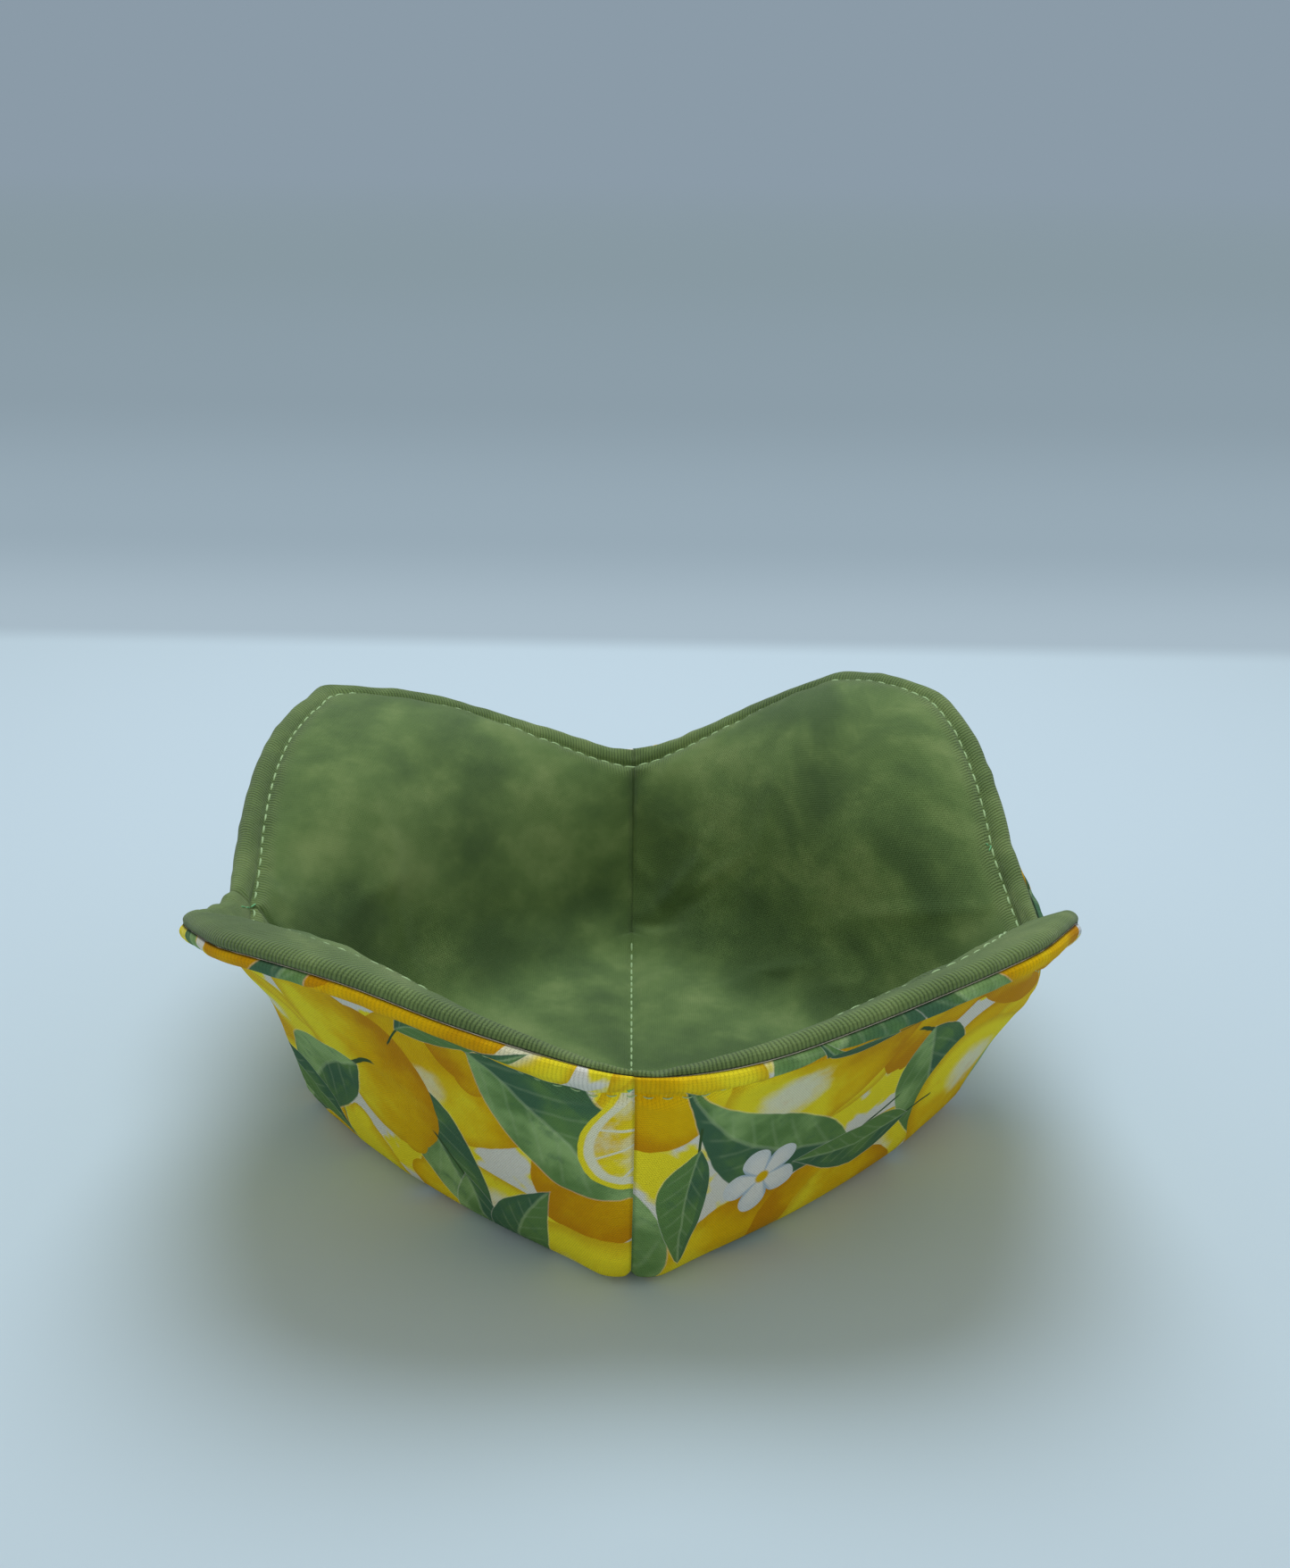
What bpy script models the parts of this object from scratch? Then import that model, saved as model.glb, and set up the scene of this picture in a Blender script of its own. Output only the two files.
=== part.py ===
"""Bowl cozy sewn from cotton squares: a printed outer cover and a green lining, each backed with batting.

Each square has a dart sewn at the middle of every side, which turns it into a square-bottomed bowl whose
four corners stand up as petals. The two are sewn together round the edge, turned right side out and
topstitched. The base square lies along X and Y, the petals face -Y, +X, +Y and -X, and the dart seams
rise on the diagonals. Lengths are in metres, with the base on Z = 0.
"""

import math

import bmesh
import bpy
import numpy as np

# The cut squares and how they are sewn
CUT_SIDE = 0.254
SEAM_ALLOWANCE = 0.00635
DART_DEPTH = 0.0491
DART_HALF_WIDTH = 0.0298
TOPSTITCH_INSET = 0.00635

# How the sewn bowl stands: padded cloth keeps this share of its cut length, and each petal has its own set
KEPT_LENGTH = 0.975
FRONT_PETAL_REACH = 0.1078
RIGHT_PETAL_REACH = 0.1058
BACK_PETAL_REACH = 0.1046
LEFT_PETAL_REACH = 0.1129
FRONT_PETAL_HEIGHT = 0.0728
RIGHT_PETAL_HEIGHT = 0.0735
BACK_PETAL_HEIGHT = 0.0774
LEFT_PETAL_HEIGHT = 0.0713
FRONT_PETAL_TWIST = 0.0028
RIGHT_PETAL_TWIST = 0.0013
BACK_PETAL_TWIST = 0.0024
LEFT_PETAL_TWIST = 0.0012
FRONT_PETAL_FLARE = math.radians(3)
RIGHT_PETAL_FLARE = math.radians(23)
BACK_PETAL_FLARE = math.radians(4.5)
LEFT_PETAL_FLARE = math.radians(5.5)

# Each dart's valley in the rim: how far off the sewn height it stands, its slope, and its seam's swell
FRONT_RIGHT_VALLEY_LIFT = 0.0024
BACK_RIGHT_VALLEY_LIFT = -0.0082
BACK_LEFT_VALLEY_LIFT = 0.0016
FRONT_LEFT_VALLEY_LIFT = -0.0017
FRONT_RIGHT_VALLEY_FLARE = math.radians(31)
BACK_RIGHT_VALLEY_FLARE = math.radians(54)
BACK_LEFT_VALLEY_FLARE = math.radians(31)
FRONT_LEFT_VALLEY_FLARE = math.radians(41)
FRONT_RIGHT_DART_SWELL = 0.0029
BACK_RIGHT_DART_SWELL = 0.0045
BACK_LEFT_DART_SWELL = 0.0
FRONT_LEFT_DART_SWELL = -0.0009
SWELL_HEIGHT = 0.60
SWELL_WIDTH = math.radians(26)

# How far the wall keeps straight on from the base, and the rim's slope reaches back, in chords of the wall
PETAL_WALL_RISES = (0.56, 0.25, 0.46, 0.50)
VALLEY_WALL_RISES = (0.52, 0.42, 0.50, 0.48)
PETAL_ARCH = 0.45
VALLEY_ARCH = 0.22

# The base
BASE_CORNER_RADIUS = 0.007
BASE_FOLD = 0.0045
BASE_BULGE = 0.0064
LEAST_CORNER = 0.25

# The layers of the wall
WALL_THICKNESS = 0.0066
CLOTH_THICKNESS = 0.0005
LAYER_GAP = 0.0003
SEAM_GAP = 0.00035
RIM_ROLL = 0.0030
RIM_HALF_THICKNESS = 0.0031

# Where stitching pulls the padding in
TOPSTITCH_PINCH = 0.0014
TOPSTITCH_PINCH_WIDTH = 0.0020
DART_PINCH = 0.0013
DART_PINCH_WIDTH = 0.0030
QUILTING_PINCH = 0.0016
QUILTING_PINCH_WIDTH = 0.0045
QUILTING_LENGTH = 0.112

# How the rim turns between a dart's valley and a petal's tip, for the front, right, back and left petals
PLAN_FULLNESS = (1.17, 1.32, 1.45, 1.42)
RISE_FULLNESS = (1.60, 1.66, 2.05, 1.79)
TIP_SOFTNESS = (0.154, 0.161, 0.158, 0.106)
FLARE_FULLNESS = 0.8

# How finely the cloth is drawn: stations run from one dart (-1) past the petal's middle (0) to the next (1)
HALF_STATIONS = (0.16, 0.34, 0.54, 0.75, 0.92, 1.0)
FOLD_STEPS = 3
WALL_STEPS = 6
LINE_POINTS = 60
ROLL_STEP = math.radians(30)
SEAM_ANGLE = math.radians(90)

# Sizes that follow from the cutting and the sewing
FINISHED_HALF = CUT_SIDE / 2 - SEAM_ALLOWANCE
BASE_REACH = FINISHED_HALF - DART_DEPTH
VALLEY_REACH = FINISHED_HALF - DART_HALF_WIDTH
VALLEY_RUN = VALLEY_REACH - BASE_REACH
DART_LEG = math.hypot(DART_DEPTH, DART_HALF_WIDTH)
VALLEY_HEIGHT = math.sqrt((DART_LEG * KEPT_LENGTH)**2 - VALLEY_RUN**2)
WALL_RUN_PER_RISE = VALLEY_RUN / math.sqrt(2) / VALLEY_HEIGHT
BASE_HALF = (BASE_REACH + BASE_CORNER_RADIUS * (math.sqrt(2) - 1)) / math.sqrt(2)
HALF_WALL = WALL_THICKNESS / 2

STATIONS = tuple(-s for s in reversed(HALF_STATIONS)) + (0.0,) + HALF_STATIONS
SPANS = len(STATIONS) - 1
SIDES = 4
COLUMNS = [(side, station) for side in range(SIDES) for station in STATIONS[:-1]]
REACHES = (FRONT_PETAL_REACH, RIGHT_PETAL_REACH, BACK_PETAL_REACH, LEFT_PETAL_REACH)
HEIGHTS = (FRONT_PETAL_HEIGHT, RIGHT_PETAL_HEIGHT, BACK_PETAL_HEIGHT, LEFT_PETAL_HEIGHT)
TWISTS = (FRONT_PETAL_TWIST, RIGHT_PETAL_TWIST, BACK_PETAL_TWIST, LEFT_PETAL_TWIST)
FLARES = (FRONT_PETAL_FLARE, RIGHT_PETAL_FLARE, BACK_PETAL_FLARE, LEFT_PETAL_FLARE)
VALLEY_LIFTS = (
    FRONT_RIGHT_VALLEY_LIFT,
    BACK_RIGHT_VALLEY_LIFT,
    BACK_LEFT_VALLEY_LIFT,
    FRONT_LEFT_VALLEY_LIFT,
)
VALLEY_FLARES = (
    FRONT_RIGHT_VALLEY_FLARE,
    BACK_RIGHT_VALLEY_FLARE,
    BACK_LEFT_VALLEY_FLARE,
    FRONT_LEFT_VALLEY_FLARE,
)
DART_SWELLS = (
    FRONT_RIGHT_DART_SWELL,
    BACK_RIGHT_DART_SWELL,
    BACK_LEFT_DART_SWELL,
    FRONT_LEFT_DART_SWELL,
)


def turned(side, x, y):
    """A point or direction drawn for the front petal, turned to the petal of this side."""
    for _ in range(side):
        x, y = -y, x
    return x, y


def base_edge(side, station, inset):
    """A point of the base's rounded outline, and the outward direction there."""
    half = BASE_HALF - inset
    radius = max(BASE_CORNER_RADIUS - inset, BASE_CORNER_RADIUS * LEAST_CORNER)
    straight = half - radius
    along = abs(station) * half
    angle = max(along - straight, 0) / radius * math.pi / 4
    x = math.copysign(min(along, straight) + radius * math.sin(angle), station)
    y = -straight - radius * math.cos(angle) - BASE_BULGE * (1 - station**2)
    outward = turned(side, math.copysign(math.sin(angle), station), -math.cos(angle))
    return turned(side, x, y), outward


def valley_of(side, station):
    """Which valley a station of a side is on the way to: 0 is at the front petal's right end."""
    return side if station >= 0 else (side - 1) % SIDES


def tip_share(side, station):
    """How far a station is on the way from the valley (0) to the petal's softly pointed tip (1)."""
    softness = TIP_SOFTNESS[side]
    soft = math.hypot(station, softness) - softness
    return 1 - soft / (math.hypot(1, softness) - softness)


def rise_share(station, fullness):
    """How far a station has risen from the valley (0) to the petal's tip (1), level at both."""
    return math.cos(station * math.pi / 2) ** fullness if abs(station) < 1 else 0.0


def rim_edge(side, station):
    """A point on the rim's edge, and the pull with which the cloth arrives there, in chords of the wall."""
    valley = valley_of(side, station)
    reach = VALLEY_REACH + (REACHES[side] - VALLEY_REACH) * tip_share(side, station)**PLAN_FULLNESS[side]
    angle = station * math.pi / 4
    outward = turned(side, math.sin(angle), -math.cos(angle))
    height = VALLEY_HEIGHT + VALLEY_LIFTS[valley]
    height += (HEIGHTS[side] - height) * rise_share(station, RISE_FULLNESS[side])
    height += TWISTS[side] * math.sin(math.pi * station)
    share = rise_share(station, FLARE_FULLNESS)
    slope = VALLEY_FLARES[valley] + (FLARES[side] - VALLEY_FLARES[valley]) * share
    arch = VALLEY_ARCH + (PETAL_ARCH - VALLEY_ARCH) * share
    pull = np.array([outward[0] * math.cos(slope), outward[1] * math.cos(slope), math.sin(slope)]) * arch
    return np.array([outward[0] * reach, outward[1] * reach, height]), pull


def swelled(line):
    """The line with each dart seam's own swell, fullest at SWELL_HEIGHT of the valley's height."""
    share = np.clip(line[:, 2] / VALLEY_HEIGHT, 0, 1) ** (math.log(0.5) / math.log(SWELL_HEIGHT))
    azimuth = np.arctan2(line[:, 1], line[:, 0])
    moved = line.copy()
    for valley, swell in enumerate(DART_SWELLS):
        toward = math.pi / 4 * (2 * valley - 1)
        apart = (azimuth - toward + math.pi) % (2 * math.pi) - math.pi
        push = swell * np.exp(-(apart / SWELL_WIDTH)**2) * np.sin(math.pi * share)
        moved[:, 0] += push * math.cos(toward)
        moved[:, 1] += push * math.sin(toward)
    return moved


def wall_line(side, station):
    """The middle of the wall from the end of its base fold to the rim's edge, as a row of points."""
    (x, y), outward = base_edge(side, station, 0)
    start = np.array([x, y, HALF_WALL])
    turn = abs(station) * BASE_HALF - (BASE_HALF - BASE_CORNER_RADIUS)
    lean = WALL_RUN_PER_RISE / math.cos(max(turn, 0) / BASE_CORNER_RADIUS * math.pi / 4)
    leave = np.array([outward[0] * lean, outward[1] * lean, 1.0])
    leave /= np.linalg.norm(leave)
    end, pull = rim_edge(side, station)
    chord = np.linalg.norm(end - start)
    share = rise_share(station, FLARE_FULLNESS)
    rise = VALLEY_WALL_RISES[valley_of(side, station)]
    first = start + leave * chord * (rise + (PETAL_WALL_RISES[side] - rise) * share)
    second = end - pull * chord
    t = np.linspace(0, 1, LINE_POINTS)[:, None]
    line = (1 - t)**3 * start + 3 * t * (1 - t)**2 * first + 3 * t**2 * (1 - t) * second + t**3 * end
    return start, leave, swelled(line)


def points_along(line, distances):
    """Points of a line at the given distances from its start."""
    steps = np.linalg.norm(np.diff(line, axis=0), axis=1)
    gone = np.concatenate([[0], np.cumsum(steps)])
    return np.stack([np.interp(distances, gone, line[:, axis]) for axis in range(3)], axis=1)


# Distances from the rim's edge at which the cloth is drawn, from below the topstitching up to the roll
RIM_ROWS = (
    TOPSTITCH_INSET + 2.5 * TOPSTITCH_PINCH_WIDTH,
    TOPSTITCH_INSET + TOPSTITCH_PINCH_WIDTH,
    TOPSTITCH_INSET,
    (TOPSTITCH_INSET + RIM_ROLL) / 2,
    RIM_ROLL,
)


def wall_column(side, station):
    """The points of one column above the base, and the distance of each from the rim's edge."""
    start, leave, line = wall_line(side, station)
    _, outward = base_edge(side, station, 0)
    inner = start - np.array([outward[0], outward[1], 0]) * BASE_FOLD
    outer = start + leave * BASE_FOLD
    length = np.linalg.norm(np.diff(line, axis=0), axis=1).sum()
    points = []
    for step in range(1, FOLD_STEPS):
        t = step / FOLD_STEPS
        points.append((1 - t)**2 * inner + 2 * t * (1 - t) * start + t**2 * outer)
    stops = np.linspace(BASE_FOLD, length - RIM_ROWS[0], WALL_STEPS + 1)
    distances = np.concatenate([stops, [length - row for row in RIM_ROWS[1:]]])
    points.extend(points_along(line, distances))
    from_rim = np.concatenate([np.full(FOLD_STEPS - 1, length), length - distances])
    return np.array(points), from_rim


def middle_surface():
    """The middle of the wall: its points, outward normals and the directions towards the rim, row by row."""
    columns, from_rim = zip(*(wall_column(side, station) for side, station in COLUMNS))
    points = np.swapaxes(np.array(columns), 0, 1)
    from_rim = np.swapaxes(np.array(from_rim), 0, 1)
    feet = [base_edge(side, station, BASE_FOLD)[0] for side, station in COLUMNS]
    foot = np.array([[x, y, HALF_WALL] for x, y in feet])
    whole = np.concatenate([foot[None], points])
    upward = np.empty_like(points)
    upward[:-1] = whole[2:] - whole[:-2]
    upward[-1] = whole[-1] - whole[-2]
    upward /= np.linalg.norm(upward, axis=2, keepdims=True)
    around = np.roll(points, -1, axis=1) - np.roll(points, 1, axis=1)
    normals = np.cross(around, upward)
    normals /= np.linalg.norm(normals, axis=2, keepdims=True)
    return points, normals, upward, from_rim


def bump(distance, width):
    return np.exp(-(distance / width)**2)


def half_thickness(points, from_rim):
    """Half the wall's thickness, pulled in at the topstitching and along the dart seams."""
    stations = np.array([abs(station) for _, station in COLUMNS])
    to_dart = (1 - stations) * np.linalg.norm(points[:, :, :2], axis=2) * math.sqrt(0.5)
    pinch = TOPSTITCH_PINCH * bump(from_rim - TOPSTITCH_INSET, TOPSTITCH_PINCH_WIDTH)
    above_roll = from_rim < TOPSTITCH_INSET
    full = np.where(above_roll, RIM_HALF_THICKNESS, HALF_WALL)
    dart = DART_PINCH * bump(to_dart, DART_PINCH_WIDTH)
    return full - np.maximum(pinch, dart * ~above_roll)


POINTS, NORMALS, UPWARD, FROM_RIM = middle_surface()
HALF = half_thickness(POINTS, FROM_RIM)


def base_height(x, y, side_sign, depth):
    """Height of a layer's face in the base: flat below, and drawn down along the quilting line above."""
    if side_sign > 0:
        return depth
    off_line = abs(x + y) * math.sqrt(0.5)
    along = abs(x - y) * math.sqrt(0.5)
    end = min(max((QUILTING_LENGTH / 2 - along) / QUILTING_PINCH_WIDTH, 0), 1)
    return WALL_THICKNESS - depth - QUILTING_PINCH * end * math.exp(-(off_line / QUILTING_PINCH_WIDTH)**2)


def grid_point(i, j):
    """Where the base grid's point i, j lies, drawn out from the centre to the base's rounded outline."""
    x, y = STATIONS[i], STATIONS[j]
    share = max(abs(x), abs(y))
    if share == 0:
        return 0.0, 0.0
    if abs(y) == share:
        side, station = (0, x / share) if y < 0 else (2, -x / share)
    else:
        side, station = (1, y / share) if x > 0 else (3, -y / share)
    px, py = base_edge(side, station, BASE_FOLD)[0]
    return px * share, py * share


def layer_face(side_sign, depth, middle=False):
    """One face of a layer: the base grid's points, then the wall's rows.

    side_sign is 1 on the outside of the bowl and -1 on its inside, and depth is how far the face lies
    under the wall's surface. A middle face runs between the two battings, depth off the wall's middle.
    """
    base = []
    for j in range(SPANS + 1):
        for i in range(SPANS + 1):
            x, y = grid_point(i, j)
            if middle:
                base.append((x, y, (base_height(x, y, -1, 0)) / 2 - side_sign * depth))
            else:
                base.append((x, y, base_height(x, y, side_sign, depth)))
    offset = np.full_like(HALF, depth) if middle else HALF - depth
    wall = POINTS + NORMALS * offset[:, :, None] * side_sign
    return np.array(base), list(wall)


def roll_row(angle, depth):
    """A row of the rolled rim: 0 is on the outside of the wall, 90 degrees at the edge, 180 on the inside."""
    across = (RIM_HALF_THICKNESS - depth) * math.cos(angle) * NORMALS[-1]
    along = (RIM_ROLL - depth) * math.sin(angle) * UPWARD[-1]
    return POINTS[-1] + across + along


def roll_angles(first, last):
    """Angles after first up to last, about a roll step apart."""
    steps = max(round(abs(last - first) / ROLL_STEP), 1)
    return [first + (last - first) * step / steps for step in range(1, steps + 1)]


def grid_index(i, j):
    return j * (SPANS + 1) + i


def ring_of_grid():
    """The base grid's border points, in the order of the columns."""
    last = SPANS
    ring = [grid_index(k, 0) for k in range(last)]
    ring += [grid_index(last, k) for k in range(last)]
    ring += [grid_index(last - k, last) for k in range(last)]
    ring += [grid_index(0, last - k) for k in range(last)]
    return ring


def add_quad(bm, corners):
    """Two triangles, split the same way in every layer so that neighbouring layers stay parallel."""
    a, b, c, d = corners
    bm.faces.new((a, b, c))
    bm.faces.new((a, c, d))


def add_band(bm, lower, upper):
    for k in range(len(lower)):
        after = (k + 1) % len(lower)
        add_quad(bm, (lower[k], lower[after], upper[after], upper[k]))


def add_face(bm, base, rows):
    """One face of a layer as mesh: the base grid and the bands above it. Returns its top ring."""
    grid = [bm.verts.new(point) for point in base]
    for j in range(SPANS):
        for i in range(SPANS):
            corners = ((i, j), (i + 1, j), (i + 1, j + 1), (i, j + 1))
            add_quad(bm, [grid[grid_index(*corner)] for corner in corners])
    ring = [grid[index] for index in ring_of_grid()]
    for row in rows:
        upper = [bm.verts.new(point) for point in row]
        add_band(bm, ring, upper)
        ring = upper
    return ring


def make_layer(name, outer, inner, material):
    """A closed layer of cloth or batting between two faces that meet at the rim."""
    bm = bmesh.new()
    add_band(bm, add_face(bm, *outer), add_face(bm, *inner))
    bmesh.ops.recalc_face_normals(bm, faces=bm.faces)
    mesh = bpy.data.meshes.new(name)
    bm.to_mesh(mesh)
    bm.free()
    mesh.shade_smooth()
    mesh.set_sharp_from_angle(angle=math.radians(60))
    mesh.materials.append(material)
    layer = bpy.data.objects.new(name, mesh)
    bpy.context.collection.objects.link(layer)
    return layer


def cotton(name, colour, roughness):
    material = bpy.data.materials.new(name)
    material.use_nodes = True
    shader = material.node_tree.nodes["Principled BSDF"]
    shader.inputs["Base Color"].default_value = (*colour, 1)
    shader.inputs["Roughness"].default_value = roughness
    shader.inputs["Metallic"].default_value = 0
    return material


def make_outer_cover():
    """The printed cover: the outside of the bowl, up to the seam just outside the rim's edge."""
    faces = []
    for depth in (0, CLOTH_THICKNESS):
        base, rows = layer_face(1, depth)
        rows += [roll_row(angle, depth) for angle in roll_angles(0, SEAM_ANGLE)]
        faces.append((base, rows))
    return make_layer("outer_cover", *faces, cotton("citrus_print", (0.62, 0.60, 0.20), 0.85))


def make_lining():
    """The green lining: the inside of the bowl, rolled over the rim's edge down to the seam."""
    end = SEAM_ANGLE + SEAM_GAP / RIM_HALF_THICKNESS
    faces = []
    for depth in (0, CLOTH_THICKNESS):
        base, rows = layer_face(-1, depth)
        rows += [roll_row(angle, depth) for angle in roll_angles(math.pi, end)]
        faces.append((base, rows))
    return make_layer("lining", *faces, cotton("green_lining", (0.11, 0.19, 0.05), 0.85))


def make_lining_batting():
    """The lining's batting, which turns over with the lining and fills the rolled rim."""
    under_cloth = CLOTH_THICKNESS + LAYER_GAP
    base, rows = layer_face(-1, under_cloth)
    rows += [roll_row(angle, under_cloth) for angle in roll_angles(math.pi, 0)]
    middle = layer_face(-1, LAYER_GAP / 2, middle=True)
    return make_layer("lining_batting", (base, rows), middle, cotton("batting", (0.85, 0.82, 0.74), 0.95))


def make_cover_batting():
    """The cover's batting, which ends under the rolled rim."""
    faces = (layer_face(1, CLOTH_THICKNESS + LAYER_GAP), layer_face(1, LAYER_GAP / 2, middle=True))
    for _, rows in faces:
        rows[-1] = rows[-1] - UPWARD[-1] * LAYER_GAP
    return make_layer("cover_batting", *faces, cotton("cover_batting", (0.85, 0.82, 0.74), 0.95))


def clear_scene():
    for obj in list(bpy.data.objects):
        bpy.data.objects.remove(obj, do_unlink=True)


def main():
    clear_scene()
    make_outer_cover()
    make_cover_batting()
    make_lining_batting()
    make_lining()


main()
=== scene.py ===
"""Bowl cozy of two padded cotton squares, a citrus print outside and mottled green inside, dressed over its solids.

The cloth is drawn from the cut squares: each piece keeps the coordinates of its flat square, so weave and
print lie as they were cut and break at the dart seams. Lengths are in metres.
"""
import math

import bpy
import numpy as np
from mathutils import Matrix, Vector


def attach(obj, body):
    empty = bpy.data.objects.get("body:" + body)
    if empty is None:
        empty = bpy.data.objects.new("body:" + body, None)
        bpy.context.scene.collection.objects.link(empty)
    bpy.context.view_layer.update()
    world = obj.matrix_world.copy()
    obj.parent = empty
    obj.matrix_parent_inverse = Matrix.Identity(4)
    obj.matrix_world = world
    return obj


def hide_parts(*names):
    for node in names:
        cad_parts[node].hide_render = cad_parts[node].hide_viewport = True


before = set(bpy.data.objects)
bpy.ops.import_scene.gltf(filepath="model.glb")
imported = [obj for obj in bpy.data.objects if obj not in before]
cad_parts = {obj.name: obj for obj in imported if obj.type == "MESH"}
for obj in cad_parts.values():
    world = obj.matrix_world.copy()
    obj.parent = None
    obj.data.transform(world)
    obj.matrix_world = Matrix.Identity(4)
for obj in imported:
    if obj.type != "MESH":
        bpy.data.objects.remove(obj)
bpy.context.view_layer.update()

# The cut squares and how they are sewn
CUT_SIDE = 0.254
SEAM_ALLOWANCE = 0.00635
DART_DEPTH = 0.0491
DART_HALF_WIDTH = 0.0298
KEPT_LENGTH = 0.975

# The four petals in the order front, right, back, left, and the valley at each one's far end
REACHES = np.array([0.1078, 0.1058, 0.1046, 0.1129])
HEIGHTS = np.array([0.0728, 0.0735, 0.0774, 0.0713])
TWISTS = np.array([0.0028, 0.0013, 0.0024, 0.0012])
FLARES = np.radians([3, 23, 4.5, 5.5])
WALL_RISES = np.array([0.56, 0.25, 0.46, 0.50])
PLAN_FULLNESS = np.array([1.17, 1.32, 1.45, 1.42])
RISE_FULLNESS = np.array([1.60, 1.66, 2.05, 1.79])
TIP_SOFTNESS = np.array([0.154, 0.161, 0.158, 0.106])
VALLEY_LIFTS = np.array([0.0024, -0.0082, 0.0016, -0.0017])
VALLEY_FLARES = np.radians([31, 54, 31, 41])
VALLEY_WALL_RISES = np.array([0.52, 0.42, 0.50, 0.48])
DART_SWELLS = np.array([0.0029, 0.0045, 0.0, -0.0009])
SWELL_HEIGHT = 0.60
SWELL_WIDTH = math.radians(26)
PETAL_ARCHES = np.array([0.29, 0.45, 0.45, 0.45])
VALLEY_ARCH = 0.22
FLARE_FULLNESS = np.array([2.2, 0.8, 0.8, 0.8])

# The rim's own unevenness: how far each petal's tip stands up, and a peak beside one
TIP_NIBS = np.array([0.0008, 0.0008, -0.0010, 0.0037])
NIB_WIDTH = 0.075
SIDE_PEAKS = np.array([0, 0, 0.0040, 0])
PEAK_STATION, PEAK_WIDTH = 0.28, 0.10
RAISED_BELOW_RIM = 0.016

# The topstitching's distance from the edge, at the valleys and at each petal: further where one folds over
VALLEY_INSET = 0.0060
INSETS = np.array([0.0165, 0.0145, 0.0054, 0.0060])
INSET_FULLNESS = 0.7

# The base
BASE_CORNER_RADIUS = 0.007
BASE_FOLD = 0.0045
BASE_BULGE = 0.0064
LEAST_CORNER = 0.25
CORNER_NUB, NUB_REACH, NUB_WIDTH, NUB_HEIGHT = 0.0026, 0.010, 0.011, 0.018

# The padded wall and its rolled rim
HALF_WALL = 0.0033
RIM_ROLL = 0.0030
RIM_HALF_THICKNESS = 0.0031
RIM_GATHER, GATHER_WIDTH = 0.0012, 0.010
RIM_STEPS = 16

# The seam between the cloths, as angles round the rolled rim from the outside
SEAM_ANGLE = math.radians(90)
SEAM_WANDER = math.radians(5)
SEAM_BY_DARTS = math.radians(20)
SEAM_BY_LEFT_DART = math.radians(70)
SEAM_GAP = 0.03
SEAM_TUCK = 0.0012
SEAM_NOTCH, NOTCH_ANGLE = 0.0007, 0.30
RIPPLE = 0.00022

# The padding's unevenness, the cloth's slack folds and what the stitches draw in
SWELLS = ((0.00060, 0.026, 3), (0.00020, 0.010, 5))
FOLDS = 46
FOLD_WIDTH = 0.0024
DRAG_FOLDS = (
    # on the lining by the back dart: x, y and direction in the flat square, half length, half width, height
    (-0.042, 0.076, 62, 0.014, 0.0026, 0.0009),
    (-0.036, 0.074, 55, 0.012, 0.0024, -0.0007),
    (-0.030, 0.084, 48, 0.012, 0.0022, 0.0006),
    (-0.043, 0.062, 38, 0.011, 0.0024, -0.0007),
)
PINCH = ((0.0006, 0.0030), (0.0010, 0.0010))
DART_PINCH = ((0.0007, 0.0040), (0.0008, 0.0009))
QUILTING_PINCH = ((0.0008, 0.0060), (0.0007, 0.0012))
PINCH_UNDER_FOLD = 0.4
PUCKER = 0.00030
LAYER_GAP = 0.00015
BATTING_DEPTH = 0.0008
QUILTING_HALF_LENGTH = 0.0655

# The lining bends softly from the base into the wall
BEND_REACH = 0.024
BEND_PULL, BEND_EASE = 0.8, 1.3
BEND_ROUNDS = 420

FINISHED_HALF = CUT_SIDE / 2 - SEAM_ALLOWANCE
BASE_REACH = FINISHED_HALF - DART_DEPTH
VALLEY_REACH = FINISHED_HALF - DART_HALF_WIDTH
VALLEY_RUN = VALLEY_REACH - BASE_REACH
VALLEY_HEIGHT = math.sqrt((math.hypot(DART_DEPTH, DART_HALF_WIDTH) * KEPT_LENGTH)**2 - VALLEY_RUN**2)
WALL_RUN_PER_RISE = VALLEY_RUN / math.sqrt(2) / VALLEY_HEIGHT
BASE_HALF = (BASE_REACH + BASE_CORNER_RADIUS * (math.sqrt(2) - 1)) / math.sqrt(2)

# How finely the cloth is drawn
SPANS = 160
FOLD_ROWS = 6
WALL_ROWS = 44
RIM_ZONE = 0.0125
RIM_ROWS = 26
LINE_POINTS = 240
BATTING_STEP = 4
RING = 4 * SPANS
EVEN = np.linspace(-1, 1, SPANS + 1)
STATIONS = 0.35 * np.sin(EVEN * math.pi / 2) + 0.65 * EVEN
SIDES = np.arange(4)[:, None]
VALLEYS = np.where(STATIONS[None] < 0, (SIDES - 1) % 4, SIDES)
QUARTERS = np.array([[1, 0], [0, 1], [-1, 0], [0, -1]])


def turned(side, x, y):
    """Points or directions drawn for the front petal, turned to the petal of each side."""
    cosine, sine = QUARTERS[side][..., 0], QUARTERS[side][..., 1]
    return cosine * x - sine * y, sine * x + cosine * y


def bump(distance, width):
    return np.exp(-(distance / width)**2)


def eased(value):
    value = np.clip(value, 0, 1)
    return value * value * (3 - 2 * value)


def lattice_noise(x, y, size, seed):
    """Smooth noise from -1 to 1 over a plane, with one value for each size by size cell."""
    table = np.random.default_rng(seed).uniform(-1, 1, (256, 256))
    x, y = x / size + 64, y / size + 64
    i, j = np.floor(x).astype(int), np.floor(y).astype(int)
    u, v = eased(x - i), eased(y - j)
    i, j = i % 255, j % 255
    low = table[i, j] * (1 - u) + table[i + 1, j] * u
    high = table[i, j + 1] * (1 - u) + table[i + 1, j + 1] * u
    return low * (1 - v) + high * v


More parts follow.
